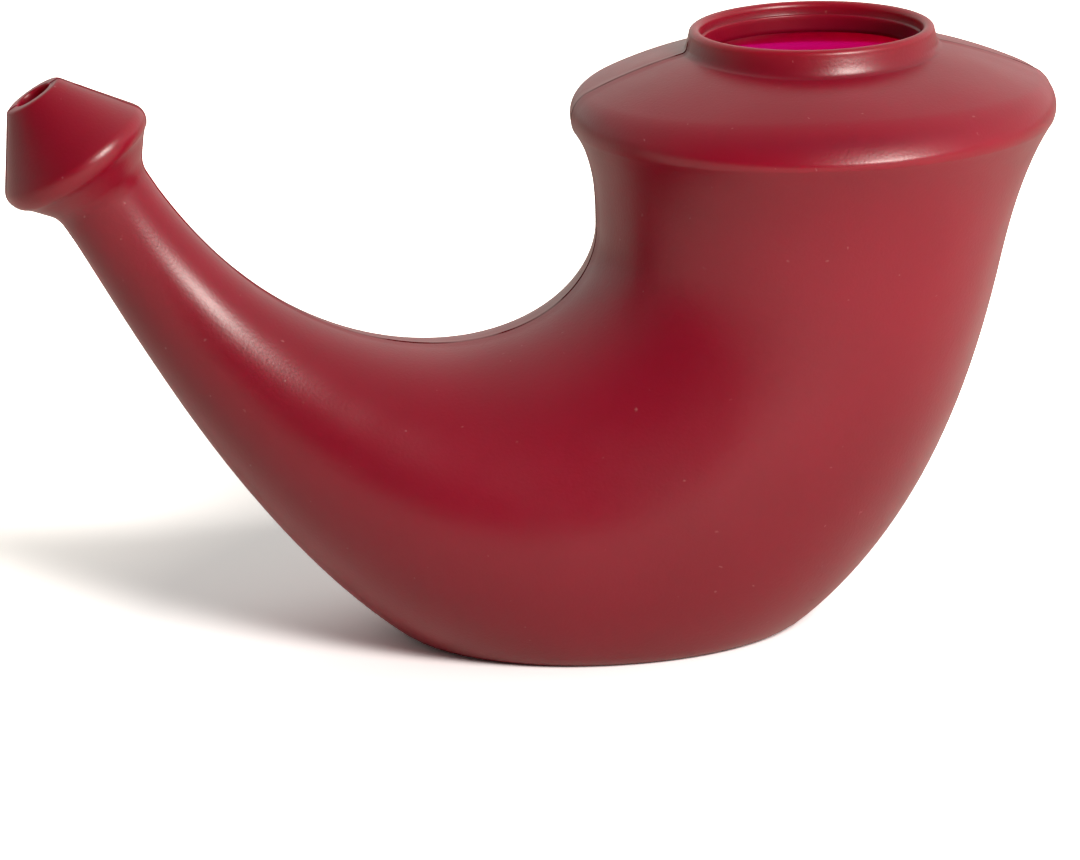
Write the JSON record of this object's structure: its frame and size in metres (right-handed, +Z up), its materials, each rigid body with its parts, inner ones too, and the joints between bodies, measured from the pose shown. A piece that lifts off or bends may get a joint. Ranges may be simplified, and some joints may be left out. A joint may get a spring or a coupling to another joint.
{
  "type": "neti pot",
  "caption": "One-piece horn-shaped nasal rinse pot with a collared round mouth, a round shoulder, a flat foot and a spout that ends in a ringed conical nozzle.",
  "frame": {"origin": "middle of the flat foot, on the surface that the pot stands on", "axes": "+X from the spout towards the mouth, +Z up along the axis of the mouth, +Y across the pot"},
  "size_m": [0.1652, 0.0764, 0.0955],
  "materials": {
    "pot_plastic": "semi-gloss deep red, slightly translucent"
  },
  "bodies": {
    "root": {"pot": "pot_plastic"}
  },
  "joints": []
}
